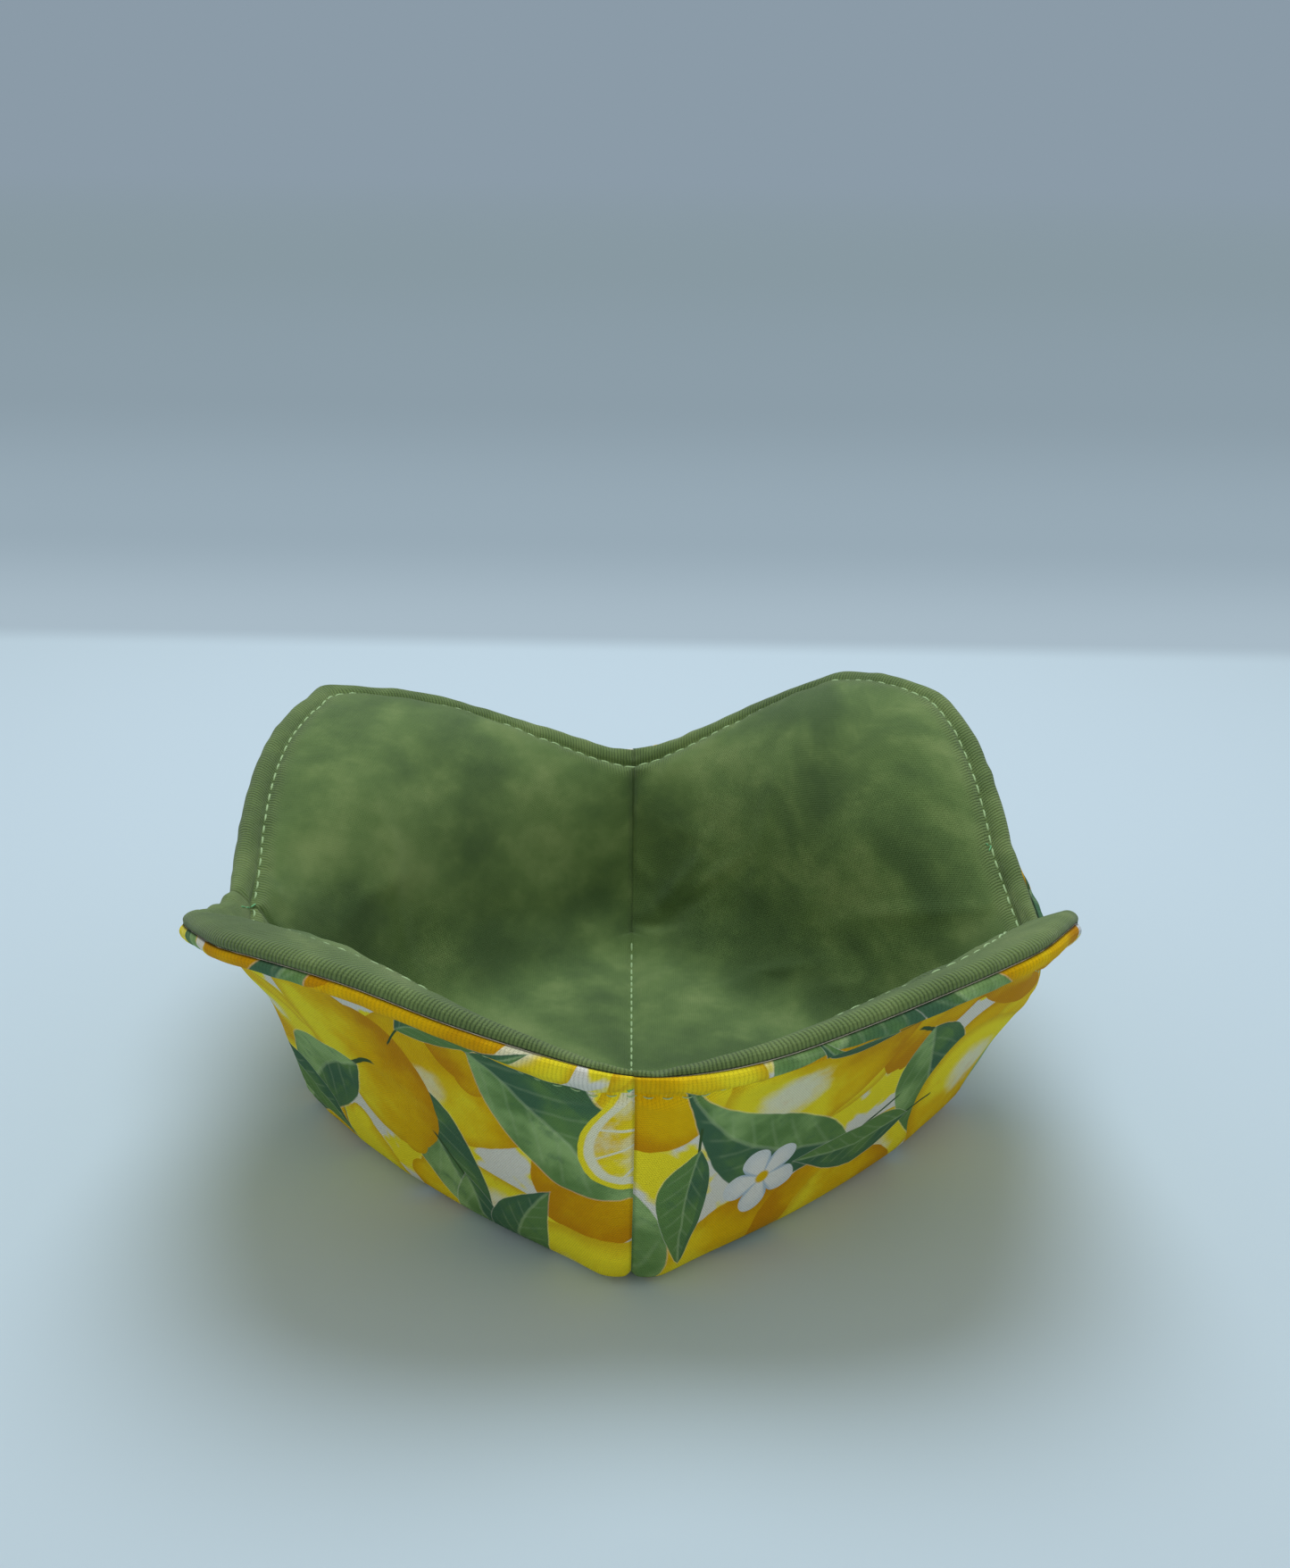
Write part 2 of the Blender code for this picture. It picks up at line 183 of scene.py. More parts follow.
def base_edge(side, station, inset):
    """Points of the base's rounded outline, and the outward directions there."""
    half = BASE_HALF - inset
    radius = max(BASE_CORNER_RADIUS - inset, BASE_CORNER_RADIUS * LEAST_CORNER)
    straight = half - radius
    along = np.abs(station) * half
    angle = np.maximum(along - straight, 0) / radius * math.pi / 4
    x = np.copysign(np.minimum(along, straight) + radius * np.sin(angle), station)
    y = -straight - radius * np.cos(angle) - BASE_BULGE * (1 - station**2)
    return turned(side, x, y), turned(side, np.copysign(np.sin(angle), station), -np.cos(angle))


FLAT_FOOT = np.stack(base_edge(SIDES, STATIONS, BASE_FOLD)[0], -1)


def rise_share(station, fullness):
    return np.maximum(np.cos(station * math.pi / 2), 0)**fullness


def between(valleys, petals, share):
    """A quantity on its way from each valley's value (share 0) to each petal's (share 1)."""
    return valleys[VALLEYS] + (petals[SIDES] - valleys[VALLEYS]) * share


def rim_edge():
    """Points on the rim's edge, and the pull with which the cloth arrives there, in chords of the wall."""
    station = np.broadcast_to(STATIONS, VALLEYS.shape)
    softness = TIP_SOFTNESS[SIDES]
    soft = np.hypot(station, softness) - softness
    tip = np.maximum(1 - soft / (np.hypot(1, softness) - softness), 0)
    reach = VALLEY_REACH + (REACHES[SIDES] - VALLEY_REACH) * tip**PLAN_FULLNESS[SIDES]
    angle = station * math.pi / 4
    x, y = turned(SIDES, np.sin(angle), -np.cos(angle))
    height = between(VALLEY_HEIGHT + VALLEY_LIFTS, HEIGHTS, rise_share(station, RISE_FULLNESS[SIDES]))
    height = height + TWISTS[SIDES] * np.sin(math.pi * station)
    share = rise_share(station, FLARE_FULLNESS[SIDES])
    slope = between(VALLEY_FLARES, FLARES, share)
    arch = VALLEY_ARCH + (PETAL_ARCHES[SIDES] - VALLEY_ARCH) * share
    pull = np.stack([x * np.cos(slope), y * np.cos(slope), np.sin(slope)], -1) * arch[..., None]
    return np.stack([x * reach, y * reach, height], -1), pull


def gone_along(line, axis=0):
    """How far along a line each of its points after the first lies."""
    return np.cumsum(np.linalg.norm(np.diff(line, axis=axis), axis=-1), axis)


def at_places(places, gone, path):
    """Points of a path at distances along it, or other vectors kept there."""
    return np.stack([np.interp(places, gone, path[:, axis]) for axis in range(3)], -1)


def at_distances(line, distances):
    """Points of each column's line at its distances from the start, and each line's length."""
    gone = np.concatenate([np.zeros((1, 4, SPANS + 1)), gone_along(line)])
    length = gone[-1]
    wanted = distances(length)
    points = np.empty((*wanted.shape, 3))
    for side, k in np.ndindex(4, SPANS + 1):
        points[:, side, k] = at_places(wanted[:, side, k], gone[:, side, k], line[:, side, k])
    return points, wanted, length


def wall_stops(length):
    """How far up each column's line the rows lie, closer together near the rim."""
    wall = np.linspace(0, 1, WALL_ROWS)[:, None, None]
    stops = BASE_FOLD + (length - RIM_ZONE - BASE_FOLD) * wall
    rim = length - np.linspace(RIM_ZONE, RIM_ROLL, RIM_ROWS + 1)[1:, None, None]
    return np.concatenate([stops, rim])


def unit(vectors):
    return vectors / np.linalg.norm(vectors, axis=-1, keepdims=True)


def shifted(rows, step):
    """Rows whose every point takes the place of its neighbour, past the darts too."""
    ring = np.roll(rows[:, :, :-1].reshape(len(rows), RING, 3), -step, 1).reshape(len(rows), 4, SPANS, 3)
    return np.concatenate([ring, np.roll(ring[:, :, :1], -1, axis=1)], axis=2)


class Wall:
    """The middle of the padded wall, row by row from the base fold to the foot of the rim's roll."""

    def __init__(self):
        (x, y), (out_x, out_y) = base_edge(SIDES, STATIONS, 0)
        outward = np.stack([out_x, out_y, np.zeros_like(out_x)], -1)
        start = np.stack([x, y, np.full_like(x, HALF_WALL)], -1)
        turn = np.maximum(np.abs(STATIONS) * BASE_HALF - (BASE_HALF - BASE_CORNER_RADIUS), 0)
        lean = (WALL_RUN_PER_RISE / np.cos(turn / BASE_CORNER_RADIUS * math.pi / 4))[None, :, None]
        leave = unit(outward * lean + [0, 0, 1])
        end, pull = rim_edge()
        chord = np.linalg.norm(end - start, axis=-1, keepdims=True)
        share = rise_share(STATIONS[None], FLARE_FULLNESS[SIDES])
        rise = between(VALLEY_WALL_RISES, WALL_RISES, share)
        first, second = start + leave * chord * rise[..., None], end - pull * chord
        t = np.linspace(0, 1, LINE_POINTS)[:, None, None, None]
        line = (1 - t)**3 * start + 3 * t * (1 - t)**2 * first + 3 * t**2 * (1 - t) * second + t**3 * end
        rows, gone, length = at_distances(self.swelled(line), wall_stops)
        t = (np.arange(1, FOLD_ROWS) / FOLD_ROWS)[:, None, None, None]
        inner, outer = start - outward * BASE_FOLD, start + leave * BASE_FOLD
        fold = (1 - t)**2 * inner + 2 * t * (1 - t) * start + t**2 * outer
        self.length = length
        self.from_rim = np.concatenate([np.repeat(length[None], FOLD_ROWS - 1, 0), length - gone])
        self.foot, self.points = np.concatenate([FLAT_FOOT, start[..., 2:]], -1), np.concatenate([fold, rows])
        self.measure()
        raised = SIDE_PEAKS[SIDES] * bump(STATIONS - PEAK_STATION, PEAK_WIDTH)
        raised = TIP_NIBS[SIDES] * bump(STATIONS, NIB_WIDTH) + raised
        raised = raised * eased(1 - self.from_rim / RAISED_BELOW_RIM)
        self.points = self.points + self.upward * raised[..., None]
        inset = between(np.full(4, VALLEY_INSET), INSETS, rise_share(STATIONS, INSET_FULLNESS))
        self.past_stitches = self.from_rim - inset

    def swelled(self, line):
        """The wall with each dart seam's own swell, fullest at SWELL_HEIGHT of the valley's height."""
        share = np.clip(line[..., 2] / VALLEY_HEIGHT, 0, 1)**(math.log(0.5) / math.log(SWELL_HEIGHT))
        azimuth = np.arctan2(line[..., 1], line[..., 0])
        moved = line.copy()
        for valley, swell in enumerate(DART_SWELLS):
            toward = math.pi / 4 * (2 * valley - 1)
            apart = (azimuth - toward + math.pi) % (2 * math.pi) - math.pi
            push = swell * bump(apart, SWELL_WIDTH) * np.sin(math.pi * share)
            moved[..., :2] += push[..., None] * [math.cos(toward), math.sin(toward)]
        return moved

    def measure(self):
        """The wall's normals, smoothed past the darts, and each point's distance from its dart."""
        whole = np.concatenate([self.foot[None], self.points])
        upward = np.empty_like(self.points)
        upward[:-1] = whole[2:] - whole[:-2]
        upward[-1] = whole[-1] - whole[-2]
        self.upward = unit(upward)
        normals = unit(np.cross(np.gradient(self.points, axis=2), self.upward))
        for _ in range(8):
            seam = (np.roll(normals[:, :, -1], 1, axis=1) + normals[:, :, 0]) / 2
            normals[:, :, 0], normals[:, :, -1] = seam, np.roll(seam, -1, axis=1)
            normals = unit(shifted(normals, 1) + 2 * normals + shifted(normals, -1))
        self.normals = normals
        # metres along each side's rim, with the side's number added to keep the four apart
        self.along = SIDES + np.concatenate([np.zeros((4, 1)), gone_along(self.points[-1], 1)], 1)
        self.to_dart = (1 - np.abs(STATIONS)) * np.linalg.norm(self.points[..., :2], axis=-1) * math.sqrt(0.5)


def flat_rim():
    """Where each column meets the rim in the flat square, drawn with its corners on the axes."""
    leg = np.array([FINISHED_HALF - DART_HALF_WIDTH, -(FINISHED_HALF + DART_HALF_WIDTH)]) / math.sqrt(2)
    corner = -FINISHED_HALF * math.sqrt(2)
    return np.stack(turned(SIDES, leg[0] * STATIONS, corner + (leg[1] - corner) * np.abs(STATIONS)), -1)


def along_threads(points):
    """Flat coordinates turned so that they run along the cloth's threads."""
    x, y = points[..., 0], points[..., 1]
    return np.stack([x + y, y - x], -1) * math.sqrt(0.5)


WALL = Wall()
RIM_HALF = RIM_HALF_THICKNESS - RIM_GATHER * bump(WALL.to_dart[-1], GATHER_WIDTH)


def wall_shares():
    """Each wall row's share of the way from the base to the rim."""
    gone = gone_along(np.concatenate([WALL.foot[None], WALL.points]))
    return gone / (gone[-1] + RIM_ROLL)


def soft_relief(x, y, outside):
    """The padding's own unevenness under a cloth, and the slack folds of the cloth."""
    relief = sum(height * lattice_noise(x, y, size, seed + outside) for height, size, seed in SWELLS)
    rng = np.random.default_rng(21 + outside)

    def placed(px, py, turn):
        cosine, sine = math.cos(turn), math.sin(turn)
        return (x - px) * cosine + (y - py) * sine, (y - py) * cosine - (x - px) * sine

    for _ in range(FOLDS):
        along, across = placed(*rng.uniform(-0.11, 0.11, 2), rng.uniform(0, math.pi))
        across = across + along**2 * rng.uniform(-8, 8)
        relief += rng.uniform(0.0002, 0.0006) * bump(along, rng.uniform(0.008, 0.020)) * bump(across, FOLD_WIDTH)
    for px, py, direction, half_length, half_width, height in () if outside else DRAG_FOLDS:
        along, across = placed(px, py, math.radians(direction))
        relief += height * bump(along, half_length) * bump(across, half_width)
    return relief


def drawn_in(pinch, distance):
    """How deep a line of stitches draws the cloth in at a distance, by each depth and its width."""
    return sum(depth * bump(distance, width) for depth, width in pinch)


def half_thickness(outside):
    """Half the wall's thickness on one face, pulled in where it is stitched and full between."""
    past, to_dart = WALL.past_stitches, WALL.to_dart
    folded = 1 - (1 - PINCH_UNDER_FOLD) * rise_share(STATIONS, INSET_FULLNESS) * (SIDES < 2)
    pinch = drawn_in(PINCH, past) * folded
    above = eased((0.0003 - past) / 0.0008)
    full = HALF_WALL + (RIM_HALF_THICKNESS - HALF_WALL) * above
    dart = drawn_in(DART_PINCH, to_dart) * (1 - 0.6 * above)
    flat = FLAT_FOOT + (flat_rim() - FLAT_FOOT) * wall_shares()[..., None]
    soft = soft_relief(flat[..., 0], flat[..., 1], outside) * eased(past / 0.006)
    if outside:
        soft *= eased(WALL.points[..., 2] / 0.012)
    turn = np.broadcast_to(WALL.along, past.shape)
    pucker = PUCKER * lattice_noise(turn, past, 0.0042, 7 + outside) * bump(past, 0.0065)
    gathered = (RIM_HALF_THICKNESS - RIM_HALF) * above
    return full - np.maximum(pinch, dart) - gathered + soft + pucker


def base_grid():
    """The base's points in the plane, as a grid whose border is the wall's foot."""
    x, y = np.meshgrid(STATIONS, STATIONS)
    share = np.maximum(np.abs(x), np.abs(y))
    safe = np.where(share == 0, 1, share)
    upright = np.abs(y) == share
    side = np.where(upright, np.where(y < 0, 0, 2), np.where(x > 0, 1, 3))
    station = np.where(upright, np.where(y < 0, x, -x), np.where(x > 0, y, -y)) / safe
    px, py = base_edge(side, np.clip(station, -1, 1), BASE_FOLD)[0]
    return px * share, py * share


BASE_X, BASE_Y = base_grid()


def grid_quads(index):
    return np.stack([index[:-1, :-1], index[1:, :-1], index[1:, 1:], index[:-1, 1:]], -1).reshape(-1, 4)


def ring_quads(low, high):
    """The corners of each quad between two rings: their indices, or what is kept for them."""
    return np.stack([low[:, :-1], low[:, 1:], high[:, 1:], high[:, :-1]], 2)


def border(grid):
    """The base grid's border, side by side in the order of the wall's columns."""
    return np.stack([grid[0], grid[:, -1], grid[-1, ::-1], grid[::-1, 0]])


def with_wall(grid, row):
    """The base grid with the wall's first row laid round it."""
    wide = np.zeros((SPANS + 3, SPANS + 3, 3))
    wide[1:-1, 1:-1] = grid
    wide[0, 1:-1], wide[1:-1, -1] = row[0], row[1]
    wide[-1, 1:-1], wide[1:-1, 0] = row[2][::-1], row[3][::-1]
    return wide


def with_nub(points):
    """Points moved out where the front dart ends in a full corner of the base."""
    aside, inward = np.moveaxis(along_threads(points), -1, 0)
    share = bump(inward + BASE_REACH, NUB_REACH) * bump(aside, NUB_WIDTH) * eased(1 - points[..., 2] / NUB_HEIGHT)
    push = share * CORNER_NUB * math.sqrt(0.5)
    return points + np.stack([push, -push, np.zeros_like(push)], -1)


class Skin:
    """One face of the bowl, the base grid and the rows of the wall: its points and the way they face."""

    def __init__(self, outside):
        self.outside, self.sign = outside, 1 if outside else -1
        self.base = np.stack([BASE_X, BASE_Y, np.full_like(BASE_X, 0 if outside else 2 * HALF_WALL)], -1)
        self.rows = WALL.points + WALL.normals * HALF_WALL * self.sign
        self.bend = np.zeros(WALL.from_rim.shape)
        if outside:
            self.base, self.rows = with_nub(self.base), with_nub(self.rows)
        else:
            self.soften()
        self.face()
        self.half = half_thickness(outside)
        self.flat_base = self.base[..., :2]
        gone = gone_along(self.whole())
        foot = border(self.flat_base)
        self.flat = foot + (flat_rim() - foot) * (gone / (gone[-1] + RIM_ROLL))[..., None]
        self.base = self.base + self.base_normals * self.base_relief()[..., None]
        self.rows = self.rows + self.normals * (self.half - HALF_WALL)[..., None]

    def whole(self):
        """The rows with the base's border before them."""
        return np.concatenate([border(self.base)[None], self.rows])

    def soften(self):
        """Draws the fold between the base and the wall out into a soft bend."""
        inside = BASE_HALF * (1 - np.maximum(*np.abs(np.meshgrid(STATIONS, STATIONS))))
        base_pull = BEND_PULL * eased(BEND_EASE * (1 - inside / BEND_REACH))[..., None]
        climbed = wall_shares() * (WALL.length + BASE_FOLD)
        self.bend = eased(BEND_EASE * (1 - climbed / BEND_REACH))
        last = int(np.nonzero(self.bend.max((1, 2)) > 0)[0].max()) + 2
        row_pull = BEND_PULL * self.bend[:last - 1, ..., None]
        for _ in range(BEND_ROUNDS):
            grid = with_wall(self.base, self.rows[0])
            level = (grid[:-2, 1:-1] + grid[2:, 1:-1] + grid[1:-1, :-2] + grid[1:-1, 2:]) / 4
            whole = self.whole()[:last + 1]
            near = whole[1:-1]
            mean = (whole[:-2] + whole[2:] + shifted(near, 1) + shifted(near, -1)) / 4
            self.base += (level - self.base) * base_pull
            self.rows[:last - 1] += (mean - near) * row_pull

    def face(self):
        grid = with_wall(self.base, self.rows[0])
        across, along = grid[1:-1, 2:] - grid[1:-1, :-2], grid[2:, 1:-1] - grid[:-2, 1:-1]
        self.base_normals = unit(np.cross(across, along)) * -self.sign
        upward = np.gradient(self.whole(), axis=0)[1:]
        bent = unit(np.cross(shifted(self.rows, 1) - shifted(self.rows, -1), upward)) * self.sign
        share = self.bend[..., None]
        self.normals = unit(bent * share + WALL.normals * self.sign * (1 - share))

    def base_relief(self):
        """Hollows and swells of the base: flat below, and above soft and drawn down by the quilting line."""
        if self.outside:
            return np.zeros_like(BASE_X)
        off_line, along = np.abs([BASE_X + BASE_Y, BASE_X - BASE_Y]) * math.sqrt(0.5)
        end = eased((QUILTING_HALF_LENGTH - along) / 0.006)
        return soft_relief(BASE_X, BASE_Y, False) - end * drawn_in(QUILTING_PINCH, off_line)

    def under(self, depth):
        """The same face at a depth under this one."""
        return self.base - self.base_normals * depth, self.rows - self.normals * depth


def roll_points(angle, depth, half):
    across = ((half - depth) * np.cos(angle))[..., None] * WALL.normals[-1]
    along = ((RIM_ROLL - depth) * np.sin(angle))[..., None] * WALL.upward[-1]
    return WALL.points[-1] + across + along


class Cloth:
    """A cloth's mesh in the making: its points and faces, and at each face's corners the place on the cloth."""

    def __init__(self, base, flat):
        index = np.arange((SPANS + 1)**2).reshape(SPANS + 1, SPANS + 1)
        faces = grid_quads(index)
        self.points, self.faces, self.count = [base.reshape(-1, 3)], [faces], index.size
        self.flat = [flat.reshape(-1, 2)[faces]]
        self.rim = [np.broadcast_to([0.0, 1.0, 1.0], (*faces.shape, 3))]
        ends = np.stack([WALL.along, np.ones_like(WALL.along), np.ones_like(WALL.along)], -1)
        self.top = border(index), border(flat), ends

    def add_row(self, points, flat, from_rim, to_dart):
        index = self.count + (SIDES * SPANS + np.arange(SPANS + 1)) % RING
        rim = np.stack([WALL.along, np.broadcast_to(from_rim, WALL.along.shape), to_dart], -1)
        for low, high, kept in zip(self.top, (index, flat, rim), (self.faces, self.flat, self.rim)):
            quads = ring_quads(low, high)
            kept.append(quads.reshape(-1, *quads.shape[2:]))
        self.points.append(points[:, :-1].reshape(-1, 3))
        self.top, self.count = (index, flat, rim), self.count + RING

    def make(self, name, material, flipped):
        faces, flat, rim = (np.concatenate(kept) for kept in (self.faces, self.flat, self.rim))
        if flipped:
            faces, flat, rim = faces[:, ::-1], flat[:, ::-1], rim[:, ::-1]
        piece = make_piece(name, np.concatenate(self.points), faces, material)
        self.places = along_threads(flat)
        set_vectors(piece.data, "threads", np.pad(self.places, ((0, 0), (0, 0), (0, 1))))
        set_vectors(piece.data, "rim", rim)
        return piece


def link(name, data):
    """A new object at the origin, in the scene."""
    made = bpy.data.objects.new(name, data)
    bpy.context.collection.objects.link(made)
    return made


def smooth_piece(name, mesh, material):
    mesh.shade_smooth()
    mesh.materials.append(material)
    return link(name, mesh)


def fill(data, name, values, kind=np.float32):
    data.foreach_set(name, np.ascontiguousarray(values, dtype=kind).ravel())


def make_piece(name, points, faces, material):
    mesh = bpy.data.meshes.new(name)
    mesh.vertices.add(len(points))
    fill(mesh.vertices, "co", points)
    mesh.loops.add(faces.size)
    fill(mesh.loops, "vertex_index", faces, np.int32)
    mesh.polygons.add(len(faces))
    fill(mesh.polygons, "loop_start", np.arange(0, faces.size, 4), np.int32)
    mesh.update(calc_edges=True)
    return smooth_piece(name, mesh, material)


def set_vectors(mesh, name, vectors):
    """Keeps a vector for every corner of every face."""
    fill(mesh.attributes.new(name, "FLOAT_VECTOR", "CORNER").data, "vector", vectors)


def make_cloth(name, skin, material):
    """The printed cover or the lining, from the middle of the base to its edge in the rim's seam."""
    cloth, flat = Cloth(skin.base, skin.flat_base), skin.flat
    for row in zip(skin.rows, flat, WALL.from_rim, WALL.to_dart):
        cloth.add_row(*row)
    turn, level = WALL.along, np.zeros_like(WALL.along)
    seam = SEAM_ANGLE + SEAM_WANDER * lattice_noise(turn, level, 0.018, 13)
    seam = seam + SEAM_BY_DARTS * bump(WALL.to_dart[-1], 0.016)
    left = (SIDES == 3) * bump(STATIONS - 1, 0.55) + (SIDES == 0) * bump(STATIONS + 1, 0.22)
    seam = seam - SEAM_BY_LEFT_DART * left
    gather = 1 + 1.6 * bump(WALL.to_dart[-1], 0.014)
    ripple = RIPPLE * gather * lattice_noise(turn, level, 0.0035, 15 + skin.outside)
    start = 0 if skin.outside else math.pi
    away = unit(flat_rim() - FLAT_FOOT)
    for step in range(1, RIM_STEPS + 2):
        share = min(step / RIM_STEPS, 1)
        angle = start + (seam - SEAM_GAP * skin.sign - start) * share
        half = skin.half[-1] + (RIM_HALF - skin.half[-1]) * share
        depth = SEAM_NOTCH * bump(angle - seam, NOTCH_ANGLE) - ripple * math.sin(math.pi * share)
        depth = depth + (SEAM_TUCK if step > RIM_STEPS else 0)
        travelled = RIM_ROLL * math.pi / 2 * step / RIM_STEPS
        place = flat[-1] + away * travelled
        cloth.add_row(roll_points(angle, depth, half), place, RIM_ROLL - travelled, WALL.to_dart[-1])
    return cloth.make(name, material, not skin.outside), cloth.places


def make_batting(name, skin, material):
    """The batting behind a cloth: a closed pad up to the middle of the wall, and in the lining's rolled rim."""
    step, across = BATTING_STEP, SPANS // BATTING_STEP
    base, rows = skin.under(BATTING_DEPTH)
    rows = list(rows[:-1:3][:-1] if skin.outside else rows[::3])
    for angle in () if skin.outside else np.radians(range(180, -1, -30)):
        rows.append(roll_points(np.full_like(WALL.along, angle), BATTING_DEPTH, skin.half[-1]))
    middle = np.stack([BASE_X, BASE_Y, np.full_like(BASE_X, HALF_WALL - skin.sign * LAYER_GAP)], -1)
    inner = list(WALL.points + WALL.normals * LAYER_GAP * skin.sign)[::3]
    points, faces, tops, count = [], [], [], 0
    for grid, wall, flipped in ((base, rows, not skin.outside), (middle, inner, skin.outside)):
        grid = grid[::step, ::step]
        index = count + np.arange((across + 1)**2).reshape(across + 1, across + 1)
        points.append(grid.reshape(-1, 3))
        quads = [grid_quads(index)]
        count, low = count + index.size, border(index)
        for row in wall:
            high = count + (SIDES * across + np.arange(across + 1)) % (4 * across)
            points.append(row[:, :-1:step].reshape(-1, 3))
            quads.append(ring_quads(low, high).reshape(-1, 4))
            count, low = count + 4 * across, high
        quads = np.concatenate(quads)
        faces.append(quads[:, ::-1] if flipped else quads)
        tops.append(low)
    edge = ring_quads(*tops).reshape(-1, 4)
    faces.append(edge if skin.outside else edge[:, ::-1])
    return make_piece(name, np.concatenate(points), np.concatenate(faces), material)


# Finishes


def colour(red, green, blue):
    """A colour given as it is seen, 0 to 255, in the renderer's own numbers."""
    shares = [channel / 255 for channel in (red, green, blue)]
    return tuple(s / 12.92 if s <= 0.04045 else ((s + 0.055) / 1.055)**2.4 for s in shares)


def operation(name):
    """A method that feeds a value, and what else it is given, to one of the maths nodes."""
    return lambda self, *others: self.maths(name, self, *others)


class Value:
    """A number that varies over a surface, written as arithmetic."""

    def __init__(self, finish, socket):
        self.finish, self.socket = finish, socket

    def maths(self, operation, *others):
        node = self.finish.add("Math", {"operation": operation}, *others)
        return Value(self.finish, node.outputs[0])

    def __rsub__(self, other):
        return self.maths("SUBTRACT", other, self)

    __add__ = __radd__ = operation("ADD")
    __mul__ = __rmul__ = operation("MULTIPLY")
    __sub__, __truediv__, __pow__ = operation("SUBTRACT"), operation("DIVIDE"), operation("POWER")
    __abs__, wave, fraction = operation("ABSOLUTE"), operation("SINE"), operation("FRACT")
    at_most, at_least = operation("MINIMUM"), operation("MAXIMUM")

    def between(self, low, high):
        """0 below low and 1 above high, eased between them; low may be the higher."""
        node = self.finish.add("MapRange", {"interpolation_type": "SMOOTHSTEP"}, self, low, high, 0, 1)
        return Value(self.finish, node.outputs[0])


class Nodes:
    """A node tree that is added to."""

    def __init__(self, owner):
        owner.use_nodes = True
        self.tree = owner.node_tree

    def feed(self, socket, value):
        """Gives a socket its value, which may be another node's."""
        value = getattr(value, "socket", value)
        if isinstance(value, bpy.types.NodeSocket):
            self.tree.links.new(value, socket)
        else:
            socket.default_value = value

    def add(self, kind, settings, *values, **named):
        """A node of a kind with its settings, and its sockets fed by values or by other nodes."""
        node = self.tree.nodes.new("ShaderNode" + kind)
        for name, setting in settings.items():
            setattr(node, name, setting)
        for key, value in [*enumerate(values), *named.items()]:
            self.feed(node.inputs[key], value)
        return node


class Finish(Nodes):
    """A material and the nodes that vary it over the surface."""

    def __init__(self, name, roughness, sheen=0.0, specular=0.25):
        self.material = bpy.data.materials.new(name)
        super().__init__(self.material)
        self.shader = self.tree.nodes["Principled BSDF"]
        self.paint("Roughness", roughness)
        self.paint("Specular IOR Level", specular)
        self.paint("Sheen Weight", sheen)
        self.paint("Sheen Roughness", 0.5)

    def paint(self, name, value):
        self.feed(self.shader.inputs[name], value)

    def vector(self, name):
        return self.add("Attribute", {"attribute_name": name}).outputs["Vector"]

    def place(self):
        return self.add("TexCoord", {}).outputs["Object"]

    def parts(self, vector):
        node = self.add("SeparateXYZ", {}, vector)
        return [Value(self, output) for output in node.outputs]

    def noise(self, vector, scale, detail=2.0, roughness=0.5):
        node = self.add("TexNoise", {}, vector, Scale=scale, Detail=detail, Roughness=roughness)
        return Value(self, node.outputs[0])

    def mix(self, factor, low, high):
        """A colour between two, each an RGB triple or another node's colour."""
        node = self.add("Mix", {"data_type": "RGBA"}, factor)
        for index, value in ((6, low), (7, high)):
            self.feed(node.inputs[index], (*value, 1) if isinstance(value, tuple) else value)
        return node.outputs[2]

    def raise_surface(self, height, distance):
        """Relief by a height from 0 to 1, worth a distance in metres."""
        node = self.add("Bump", {}, Strength=1.0, Distance=distance, Height=height)
        self.paint("Normal", node.outputs[0])


def plain_weave(finish, threads, pitch):
    """Height of a plain weave, 0 to 1."""
    uneven = finish.noise(threads, 900.0)
    x, y, _ = finish.parts(threads)
    turn = math.pi / pitch
    warp, weft = (x * turn + uneven * 0.9).wave(), (y * turn + uneven * 0.9).wave()
    over = (warp * weft).between(-0.3, 0.3)
    return abs(warp) * over + abs(weft) * (1 - over)


def crease_shade(finish, tone):
    """The tone darkened with painted shade in the seam of the rim and along the dart seams."""
    _, from_rim, to_dart = finish.parts(finish.vector("rim"))
    seam = from_rim.between(-0.00120, -0.00165) * 0.75
    dart = to_dart.between(0.0005, 0.0001) * 0.32
    # near-black painted shade in the creases
    return finish.mix(seam.at_least(dart), tone, (0.006, 0.010, 0.004))


def rim_ribs(finish, threads, folded):
    """Ribs across the rolled rim, where the bend opens the weave: their height, and the grooves between them; the
    finishes paint sheen on the ribs and shade in the grooves.

    Folded is how much further they reach on the two petals that fold over.
    """
    along, from_rim, _ = finish.parts(finish.vector("rim"))
    zone = (from_rim - along.between(1.9, 1.5) * folded).between(0.0105, 0.0070)
    uneven = finish.noise(threads, 420.0)
    ribs = abs((along * (math.pi / RIB_PITCH) + uneven * 2.6).wave()) * zone
    return ribs, zone - ribs


# From thread to thread of each weave, and from rib to rib
LINING_PITCH, PRINT_PITCH, RIB_PITCH = 0.00050, 0.00042, 0.00080
LINING_MID = colour(94, 122, 64)
LINING_LIGHT = colour(132, 152, 92)
LINING_DARK = colour(64, 92, 46)
THREAD_PALE = colour(176, 208, 150)
THREAD_MINT = colour(120, 200, 140)


